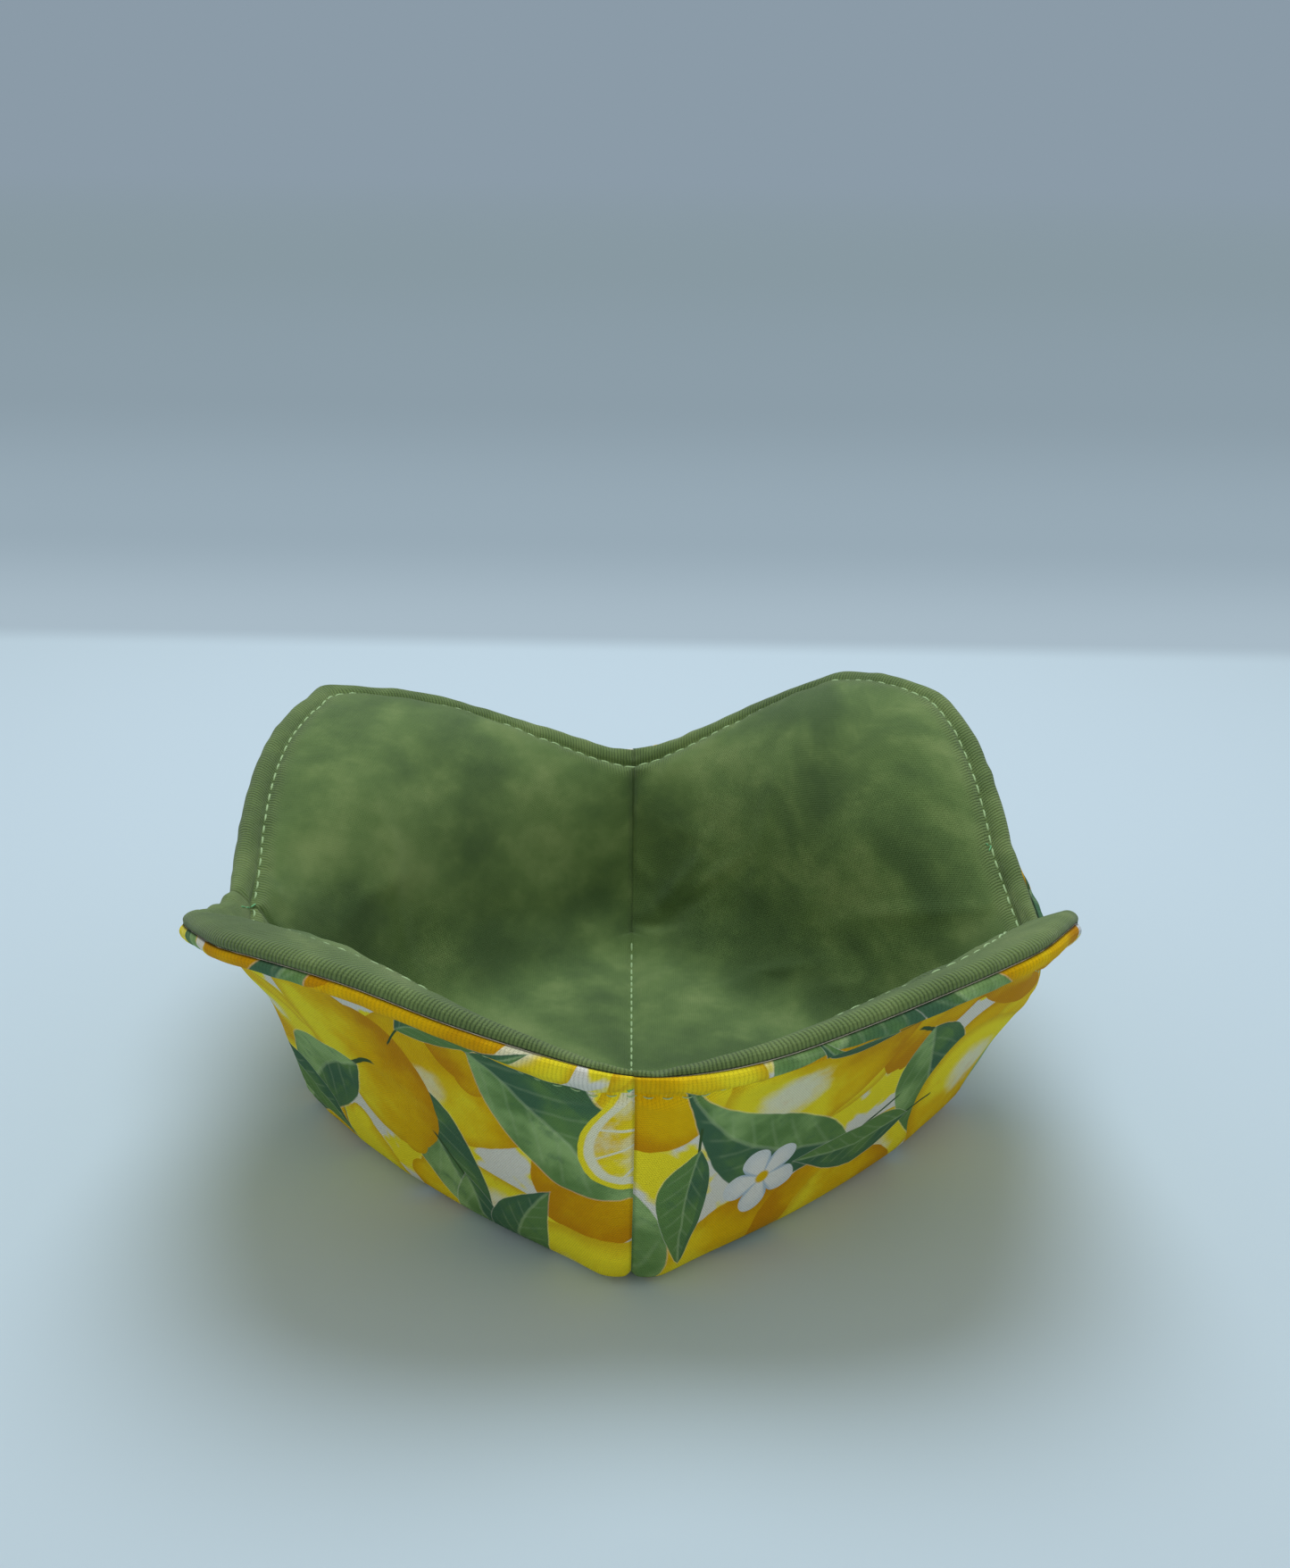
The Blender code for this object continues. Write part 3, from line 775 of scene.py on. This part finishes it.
def lining_finish():
    finish = Finish("green_lining", 0.85, sheen=0.15)
    threads = finish.vector("threads")
    clouds = finish.noise(threads, 30.0)
    mottle = finish.noise(threads, 85.0, 3.0, 0.6)
    grain = finish.noise(threads, 1300.0)
    tone = finish.mix((clouds * 0.72 + mottle * 0.28).between(0.36, 0.56), LINING_DARK, LINING_MID)
    tone = finish.mix((mottle * 0.45 + clouds * 0.55).between(0.48, 0.68) * 0.65, tone, LINING_LIGHT)
    height = plain_weave(finish, threads, LINING_PITCH)
    ribs, grooves = rim_ribs(finish, threads, 0.0090)
    # painted sheen: the lining lighter towards the rim's edge, where the roll catches the light
    painted_rim_sheen = finish.parts(finish.vector("rim"))[1].between(0.0045, 0.0005) * 0.25
    # random lighter flecks of thread, and painted highlight on the tops of the weave and of the rim's ribs
    fleck_and_highlight = ((height * 0.5 + ribs * 0.9 + grain * 0.5) * 0.5).between(0.05, 0.85)
    tone = finish.mix(fleck_and_highlight * 0.50 + painted_rim_sheen * fleck_and_highlight, tone, finish.mix(0.65, tone, LINING_LIGHT))
    # painted shade in the grooves between the rim's ribs
    tone = finish.mix(grooves * 0.42, tone, finish.mix(0.75, tone, (0.01, 0.02, 0.01)))
    finish.paint("Base Color", crease_shade(finish, tone))
    finish.raise_surface(height * 0.6 + ribs * 1.2 + grain * 0.25, 0.00014)
    return finish.material


def thread_finish(name, tone):
    finish = Finish(name, 0.6, sheen=0.2)
    twist = finish.noise(finish.place(), 2500.0, 1.0)
    finish.paint("Base Color", finish.mix(twist, tuple(c * 0.82 for c in tone), tone))
    finish.raise_surface(twist, 0.00006)
    return finish.material


def batting_finish():
    finish = Finish("batting", 0.95)
    fluff = finish.noise(finish.place(), 420.0, 4.0, 0.6)
    finish.paint("Base Color", finish.mix(fluff, colour(226, 220, 203), colour(244, 240, 228)))
    finish.raise_surface(fluff, 0.0004)
    return finish.material


# The print: fruit, slices, leaves and blossoms, each kind in a layer of its own that the next lies over

PRINT_SEED = 41
PRINT_REACH = 0.180
KINDS = {
    # name: half length, half width, stem, most, spacing
    "back_fruit": (0.0270, 0.0195, 0.0, 90, 0.0015),
    "low_fruit": (0.0270, 0.0195, 0.0, 90, 0.0040),
    "low_leaf": (0.0280, 0.0105, 0.4, 60, 0.0080),
    "fruit": (0.0265, 0.0190, 0.0, 60, 0.0040),
    "leaf": (0.0260, 0.0092, 0.35, 50, 0.0120),
    "slice": (0.0150, 0.0150, 0.0, 8, 0.0600),
    "small_leaf": (0.0175, 0.0058, 0.4, 40, 0.0200),
    "blossom": (0.0110, 0.0110, 0.0, 14, 0.0420),
}


def axis_points(x, y, angle, reach, half_width, stem):
    """Points along a motif's axis, which with its half width stand for it when motifs are spaced."""
    inner = max(reach - half_width, 0)
    steps = np.linspace(-inner - stem * reach, inner, 9)
    return np.stack([x + math.cos(angle) * steps, y + math.sin(angle) * steps], 1)


def lay_out(name):
    """Places of one kind's motifs over the flat cloth: x, y, angle, size and the motif's own number."""
    reach, half_width, stem, most, spacing = KINDS[name]
    rng = np.random.default_rng(PRINT_SEED + list(KINDS).index(name))
    placed, axes = [], []
    for _ in range(4000):
        x, y = rng.uniform(-PRINT_REACH, PRINT_REACH, 2)
        angle, size, own = rng.uniform(0, 2 * math.pi), rng.uniform(0.88, 1.12), rng.uniform(0.02, 0.98)
        axis = axis_points(x, y, angle, reach * size, half_width * size, stem)
        room = 2 * half_width * size + spacing
        if all(np.linalg.norm(axis[:, None] - other[None], axis=-1).min() > room for other in axes):
            placed.append((x, y, angle, reach * size, half_width * size, own))
            axes.append(axis)
        if len(placed) == most:
            break
    return placed, axes


def lay_print(mesh, places):
    """Gives every face of the cover its place in the nearest motif of each kind, in half lengths."""
    middles = places.mean(1)
    for name in KINDS:
        placed, axes = lay_out(name)
        away = np.stack([np.linalg.norm(middles[:, None] - axis[None], axis=-1).min(1) for axis in axes], 1)
        x, y, angle, reach, _, own = np.array(placed)[away.argmin(1)].T[..., None]
        dx, dy = places[..., 0] - x, places[..., 1] - y
        u = (dx * np.cos(angle) + dy * np.sin(angle)) / reach
        v = (dy * np.cos(angle) - dx * np.sin(angle)) / reach
        set_vectors(mesh, name, np.stack([u, v, np.broadcast_to(own, u.shape)], -1))


LEMON = colour(254, 238, 46)
GOLD = colour(242, 198, 8)
AMBER = colour(212, 148, 4)
GLOW = colour(244, 244, 214)
GROUND = colour(236, 236, 226)
LEAF_DEEP = colour(72, 112, 84)
LEAF_MID = colour(104, 144, 82)
LEAF_PALE = colour(158, 194, 126)
VEIN = colour(190, 214, 168)
STEM = colour(66, 96, 58)
PETAL_WHITE = colour(244, 246, 244)
PETAL_SHADE = colour(170, 198, 222)


class Print:
    """The cover's printed colours, laid over one another kind by kind."""

    def __init__(self, finish, threads):
        self.finish = finish
        self.wash = finish.noise(threads, 62.0, 3.0, 0.55)
        self.streak = finish.noise(threads, 230.0, 3.0, 0.6)
        self.tone = finish.mix(self.wash.between(0.50, 0.44), GROUND, LEMON)

    def motif(self, name):
        u, v, own = self.finish.parts(self.finish.vector(name))
        return u + (self.streak - 0.5) * 0.04, v + (self.wash - 0.5) * 0.07, own

    def round_motif(self, name):
        """Each place's distance and angle from the middle of its motif, and the motif's own number."""
        u, v, own = self.motif(name)
        return (u * u + v * v)**0.5, v.maths("ARCTAN2", v, u), own

    def cover(self, mask, tone):
        self.tone = self.finish.mix(mask, self.tone, tone)

    def leaves(self, name, width, pale):
        """Pointed leaves with a midrib, side veins, one half in shade and a short stem."""
        mix = self.finish.mix
        u, v, own = self.motif(name)
        across = v - (own - 0.5) * 0.55 * (1 - u * u)
        swell = (1 - u * u).at_least(0) * (1 + u * -0.35) * width
        edge = (swell - abs(across)).at_most((1 - abs(u)) * 0.5)
        side = across.between(-0.02, 0.02)
        shade = side * 0.45 + self.wash * 1.5 - 0.72 + own * 0.25
        tone = mix(shade.between(0.0, 0.40), LEAF_DEEP, LEAF_MID)
        tone = mix(shade.between(0.35, 0.80), tone, pale)
        veins = ((u * 0.8 - abs(across) * 1.1) * 4.5 + own * 3).fraction()
        tone = mix(abs(veins - 0.5).between(0.16, 0.0) * edge.between(0.0, 0.12) * 0.16, tone, VEIN)
        tone = mix((self.streak - 0.5).between(0.02, 0.25) * 0.45, tone, LEAF_DEEP)
        tone = mix(abs(across).between(0.028, 0.004) * 0.35, tone, VEIN)
        tone = mix((edge + across * 0.4).between(0.045, 0.0) * 0.55, tone, LEAF_DEEP)
        stem = (0.020 - abs(across + (u + 0.9) * 0.3)).between(-0.006, 0.004) * (u + 0.9).between(0.0, -0.02)
        self.cover(stem * (u + 1.38).between(-0.03, 0.03), STEM)
        self.cover(edge.between(-0.014, -0.004) * 0.3, GROUND)
        self.cover(edge.between(-0.004, 0.010), tone)

    def fruit(self, name):
        """Rounded fruit with a nose, shaded round from amber through gold to lemon, with a soft glow."""
        mix = self.finish.mix
        u, v, own = self.motif(name)
        body = 1 - (abs(u)**2.2 + abs(v / 0.70)**2.1)
        nose = (1 - (((u - 0.92) / 0.15)**2 + (v / 0.16)**2)) * 0.2
        edge = (body * 0.5).at_least(nose)
        turn = own * (math.pi * 9)
        lit_u, lit_v = turn.wave(), (turn + math.pi / 2).wave()
        lit = u * lit_u + v * lit_v + (self.wash - 0.5) * 1.7
        tone = mix(lit.between(-0.85, 0.0), AMBER, GOLD)
        tone = mix(lit.between(-0.15, 0.55), tone, LEMON)
        off_u, off_v = u - lit_u * 0.36, v - lit_v * 0.24
        glow = 1 - (off_u * off_u * 4.5 + off_v * off_v * 7.0) + (self.wash - 0.5) * 1.3 + (self.streak - 0.5) * 0.5
        tone = mix(glow.between(0.35, 1.0) * (own * 7).fraction().between(0.15, 0.45) * 0.95, tone, GLOW)
        pool = (edge.between(0.16, 0.0) * 0.5 + (self.streak - 0.5).between(0.05, 0.3) * 0.25)
        tone = mix(pool, tone, AMBER)
        self.cover(edge.between(-0.004, 0.010), tone)

    def slices(self):
        mix = self.finish.mix
        radius, turn, own = self.round_motif("slice")
        wall = abs((turn * 4.5 + own * 6).wave()) * radius
        flesh = mix(self.wash.between(0.3, 0.7), LEMON, GOLD)
        flesh = mix((self.streak - 0.4).between(0.0, 0.3) * 0.6, flesh, GLOW)
        tone = mix(wall.between(0.05, 0.13) * radius.between(0.80, 0.76) * radius.between(0.08, 0.14), GLOW, flesh)
        tone = mix(radius.between(0.89, 0.92), tone, LEMON)
        self.cover(radius.between(1.0, 0.985), tone)

    def blossoms(self):
        mix = self.finish.mix
        radius, turn, own = self.round_motif("blossom")
        lobe = abs((turn * 2.5 + own * 6).wave())
        edge = lobe**0.6 * 0.45 + 0.5 - radius
        tone = mix(edge.between(0.45, 0.02) * 0.25 + lobe.between(0.45, 0.1) * 0.6, PETAL_WHITE, PETAL_SHADE)
        tone = mix(radius.between(0.2, 0.13), tone, GOLD)
        self.cover(edge.between(0.0, 0.03), tone)


def print_finish():
    finish = Finish("citrus_print", 0.85, specular=0.12)
    threads = finish.vector("threads")
    picture = Print(finish, threads)
    picture.fruit("back_fruit")
    picture.fruit("low_fruit")
    picture.leaves("low_leaf", 0.40, LEAF_PALE)
    picture.fruit("fruit")
    picture.leaves("leaf", 0.36, LEAF_PALE)
    picture.slices()
    picture.leaves("small_leaf", 0.34, LEAF_MID)
    picture.blossoms()
    height = plain_weave(finish, threads, PRINT_PITCH)
    grain = finish.noise(threads, 1500.0)
    ribs, grooves = rim_ribs(finish, threads, 0.0)
    # painted shade: the print darker between the threads of the weave and in the grooves between the rim's ribs,
    # lighter on the ribs, with a random grain of tone as well
    weave = (height * 0.8 + grain * 0.5 + ribs * 0.35).between(0.0, 1.1)
    shaded_print = finish.mix(0.38, picture.tone, (0.02, 0.03, 0.01))
    tone = finish.mix(weave, shaded_print, picture.tone)
    tone = finish.mix(grooves * 0.30, tone, shaded_print)
    finish.paint("Base Color", crease_shade(finish, tone))
    finish.raise_surface(height * 0.7 + ribs * 0.5 + grain * 0.2, 0.00012)
    return finish.material


# Making the pieces


def dress(piece, slot, *nodes):
    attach(piece, "root")
    if nodes:
        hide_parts(*nodes)
    return piece


def stitches(name, path, normals, material, length=0.0027, gap=0.0008, radius=0.00026, sink=0.00026):
    """Short lengths of thread along a path, each arched over the cloth with its two ends drawn in."""
    gone = np.concatenate([[0], gone_along(path)])
    starts = np.arange(gap, gone[-1] - length, length + gap)
    rng = np.random.default_rng(len(name))
    starts = starts + rng.uniform(-0.12, 0.12, len(starts)) * gap
    rings, around, step = 7, 6, 1e-4
    share = np.linspace(0, 1, rings)
    at = (starts[:, None] + share * length * rng.uniform(0.93, 1.07, (len(starts), 1))).ravel()
    centre, up = at_places(at, gone, path), unit(at_places(at, gone, normals))
    ahead = unit(at_places(at + step, gone, path) - at_places(at - step, gone, path))
    beside = unit(np.cross(ahead, up))
    up = np.cross(beside, ahead)
    arch = np.tile(np.sin(share * math.pi)**0.45, len(starts))
    centre = centre + up * ((radius * 0.55 + sink) * arch - sink)[:, None]
    thick = radius * (0.6 + 0.4 * arch)
    turn = np.linspace(0, 2 * math.pi, around, endpoint=False)
    ring = np.cos(turn)[None, :, None] * beside[:, None] + np.sin(turn)[None, :, None] * up[:, None]
    points = (centre[:, None] + ring * thick[:, None, None]).reshape(-1, 3)
    first = (np.arange(len(starts))[:, None, None] * rings + np.arange(rings - 1)[:, None]) * around
    k = np.arange(around)
    low, next_low = first + k, first + (k + 1) % around
    faces = np.stack([low, next_low, next_low + around, low + around], -1).reshape(-1, 4)
    caps = np.concatenate([first[:, 0] + k[::-1], first[:, -1] + around + k])
    mesh = bpy.data.meshes.new(name)
    mesh.from_pydata(points.tolist(), [], faces.tolist() + caps.tolist())
    return dress(smooth_piece(name, mesh, material), "thread")


def stitch_line(skin):
    """The topstitching's path round the bowl on one face of the wall, and its normals."""
    lines = []
    for values in (skin.rows, skin.normals):
        line = np.empty((4, SPANS, 3))
        for side, k in np.ndindex(4, SPANS):
            line[side, k] = at_places(0, WALL.past_stitches[::-1, side, k], values[::-1, side, k])
        lines.append(line.reshape(-1, 3))
    return lines


def wall_path(skin, places):
    """A path over one face of the wall through places, each a side, a station and a distance from the rim."""
    at = [
        (np.abs(WALL.from_rim[:, 0, 0] - from_rim).argmin(), side, np.abs(STATIONS - station).argmin())
        for side, station, from_rim in places
    ]
    share, fine = np.linspace(0, 1, len(at)), np.linspace(0, 1, 24)
    return [at_places(fine, share, np.array([line[place] for place in at])) for line in (skin.rows, skin.normals)]


print_material = print_finish()
lining_material = lining_finish()
pale_thread = thread_finish("pale_thread", THREAD_PALE)
mint_thread = thread_finish("mint_thread", THREAD_MINT)
batting_material = batting_finish()

cover_skin, lining_skin = Skin(True), Skin(False)
cover, places = make_cloth("printed_cover", cover_skin, print_material)
lay_print(cover.data, places)
lining, _ = make_cloth("green_lining", lining_skin, lining_material)
dress(cover, "citrus_print", "outer_cover")
dress(lining, "green_lining", "lining")
for name, skin, node in (("cover_pad", cover_skin, "cover_batting"), ("lining_pad", lining_skin, "lining_batting")):
    pad = dress(make_batting(name, skin, batting_material), "batting", node)

stitches("topstitching_inside", *stitch_line(lining_skin), pale_thread)
stitches("topstitching_outside", *stitch_line(cover_skin), pale_thread, radius=0.00014, sink=0.0007)
diagonal = np.arange(SPANS, -1, -1), np.arange(SPANS + 1)
quilted = np.abs(lining_skin.base[diagonal][:, 0]) < QUILTING_HALF_LENGTH / math.sqrt(2)
quilting = lining_skin.base[diagonal][quilted], lining_skin.base_normals[diagonal][quilted]
stitches("quilting_stitches", *quilting, pale_thread)
LOOSE_THREADS = {
    # name: skin, and the path's places as side, station and distance from the rim
    "left_backstitch": (lining_skin, (
        (3, 0.985, 0.0064), (0, -0.975, 0.0056), (0, -0.935, 0.0044), (0, -0.895, 0.0034))),
    "right_backstitch": (lining_skin, (
        (1, 0.93, 0.0064), (1, 0.965, 0.0078), (1, 0.99, 0.0060), (2, -0.99, 0.0085))),
    "right_knot": (lining_skin, (
        (2, -0.60, 0.0068), (2, -0.585, 0.0055), (2, -0.57, 0.0070), (2, -0.59, 0.0060))),
    "front_seam_end": (cover_skin, (
        (0, 0.990, 0.0048), (0, 0.985, 0.0030), (1, -0.990, 0.0030), (1, -0.985, 0.0044))),
}
for name, (skin, path) in LOOSE_THREADS.items():
    stitches(name, *wall_path(skin, path), mint_thread, length=0.0022, gap=0.0004, radius=0.00018, sink=0.00010)

# The stage: floor, light and camera

PHOTO_LONG_SIDE = 1756
FOCAL_PIXELS = 2100
AIM = Vector((0, 0, 0.03))
EYE_DISTANCE = 0.431
EYE_AZIMUTH, EYE_ELEVATION = math.radians(44.61), math.radians(26.2)
VIEW_AZIMUTH, VIEW_ELEVATION = math.radians(44.31), math.radians(20.24)
VIEW_ROLL = math.radians(0.97)
FLOOR_TONE = colour(196, 214, 224)
FLOOR_REACH = 6.0
BLACK = (0.0, 0.0, 0.0)


def backward(azimuth, elevation):
    flat = math.cos(elevation)
    return Vector((math.sin(azimuth) * flat, -math.cos(azimuth) * flat, math.sin(elevation)))


def set_camera():
    data = bpy.data.cameras.new("camera")
    data.lens = data.sensor_width * FOCAL_PIXELS / PHOTO_LONG_SIDE
    camera = link("camera", data)
    back = backward(VIEW_AZIMUTH, VIEW_ELEVATION)
    right = Vector((math.cos(VIEW_AZIMUTH), math.sin(VIEW_AZIMUTH), 0))
    turn = Matrix((right, back.cross(right), back)).transposed() @ Matrix.Rotation(VIEW_ROLL, 3, "Z")
    eye = AIM + backward(EYE_AZIMUTH, EYE_ELEVATION) * EYE_DISTANCE
    camera.matrix_world = Matrix.Translation(eye) @ turn.to_4x4()
    bpy.context.scene.camera = camera


def add_lamp(name, place, size, power, tone):
    data = bpy.data.lights.new(name, "AREA")
    data.shape, data.size, data.energy, data.color = "DISK", size, power, tone
    lamp = link(name, data)
    lamp.location = place
    lamp.rotation_mode = "QUATERNION"
    lamp.rotation_quaternion = (Vector(place) - AIM).to_track_quat("Z", "Y")


# How the photograph's floor and backdrop darken with the distance beyond the bowl
FAR_TONES = (
    (0.395, colour(169, 187, 199)),
    (0.59, colour(152, 170, 182)),
    (1.05, colour(140, 157, 168)),
    (2.2, colour(136, 153, 162)),
    (5.0, colour(139, 155, 168)),
)


def floor_finish():
    """Pale floor of a light tent, whose far side glows at its own brightness, in painted tones of the backdrop's
    light that darken with the distance.
    """
    finish = Finish("pale_floor", 1.0, specular=0.0)
    x, y, _ = finish.parts(finish.place())
    away = y * math.cos(VIEW_AZIMUTH) - x * math.sin(VIEW_AZIMUTH)
    tone = FAR_TONES[0][1]
    for (near, _), (far, next_tone) in zip(FAR_TONES, FAR_TONES[1:]):
        tone = finish.mix(away.between(near, far), tone, next_tone)
    lit = away.between(0.398, 0.368)
    finish.paint("Base Color", finish.mix(lit, BLACK, FLOOR_TONE))
    # the far side glows: painted light in the backdrop's tones
    finish.paint("Emission Color", finish.mix(lit, tone, BLACK))
    finish.paint("Emission Strength", 1.0)
    return finish.material


def make_floor():
    mesh = bpy.data.meshes.new("floor")
    corners = [(x * FLOOR_REACH, y * FLOOR_REACH, 0) for x, y in ((-1, -1), (1, -1), (1, 1), (-1, 1))]
    mesh.from_pydata(corners, [], [(0, 1, 2, 3)])
    mesh.materials.append(floor_finish())
    floor = link("floor", mesh)
    floor.location.z = -0.0002


def set_world():
    """A tent that lights softly, and is itself seen in the backdrop's tone."""
    world = bpy.data.worlds.new("tent")
    bpy.context.scene.world = world
    tent = Nodes(world)
    light = tent.tree.nodes["Background"]
    tent.feed(light.inputs["Color"], (0.92, 0.92, 0.87, 1))
    tent.feed(light.inputs["Strength"], 0.50)
    seen = tent.add("Background", {}, (*FAR_TONES[-1][1], 1))
    rays = tent.add("LightPath", {}).outputs
    either = tent.add("Math", {"operation": "MAXIMUM"}, rays["Is Camera Ray"], rays["Is Glossy Ray"])
    choice = tent.add("MixShader", {}, either.outputs[0], light.outputs[0], seen.outputs[0])
    tent.feed(tent.tree.nodes["World Output"].inputs["Surface"], choice.outputs[0])


set_camera()
make_floor()
set_world()
behind = -backward(VIEW_AZIMUTH, 0)
add_lamp("overhead", Vector((0, 0, 0.85)) + behind * 0.25, 0.66, 5.2, (0.84, 0.90, 1.0))
add_lamp("fill", AIM + backward(VIEW_AZIMUTH, math.radians(20)) * 0.95, 0.60, 0.75, (1.0, 0.93, 0.80))
bpy.context.scene.view_settings.view_transform = "Standard"
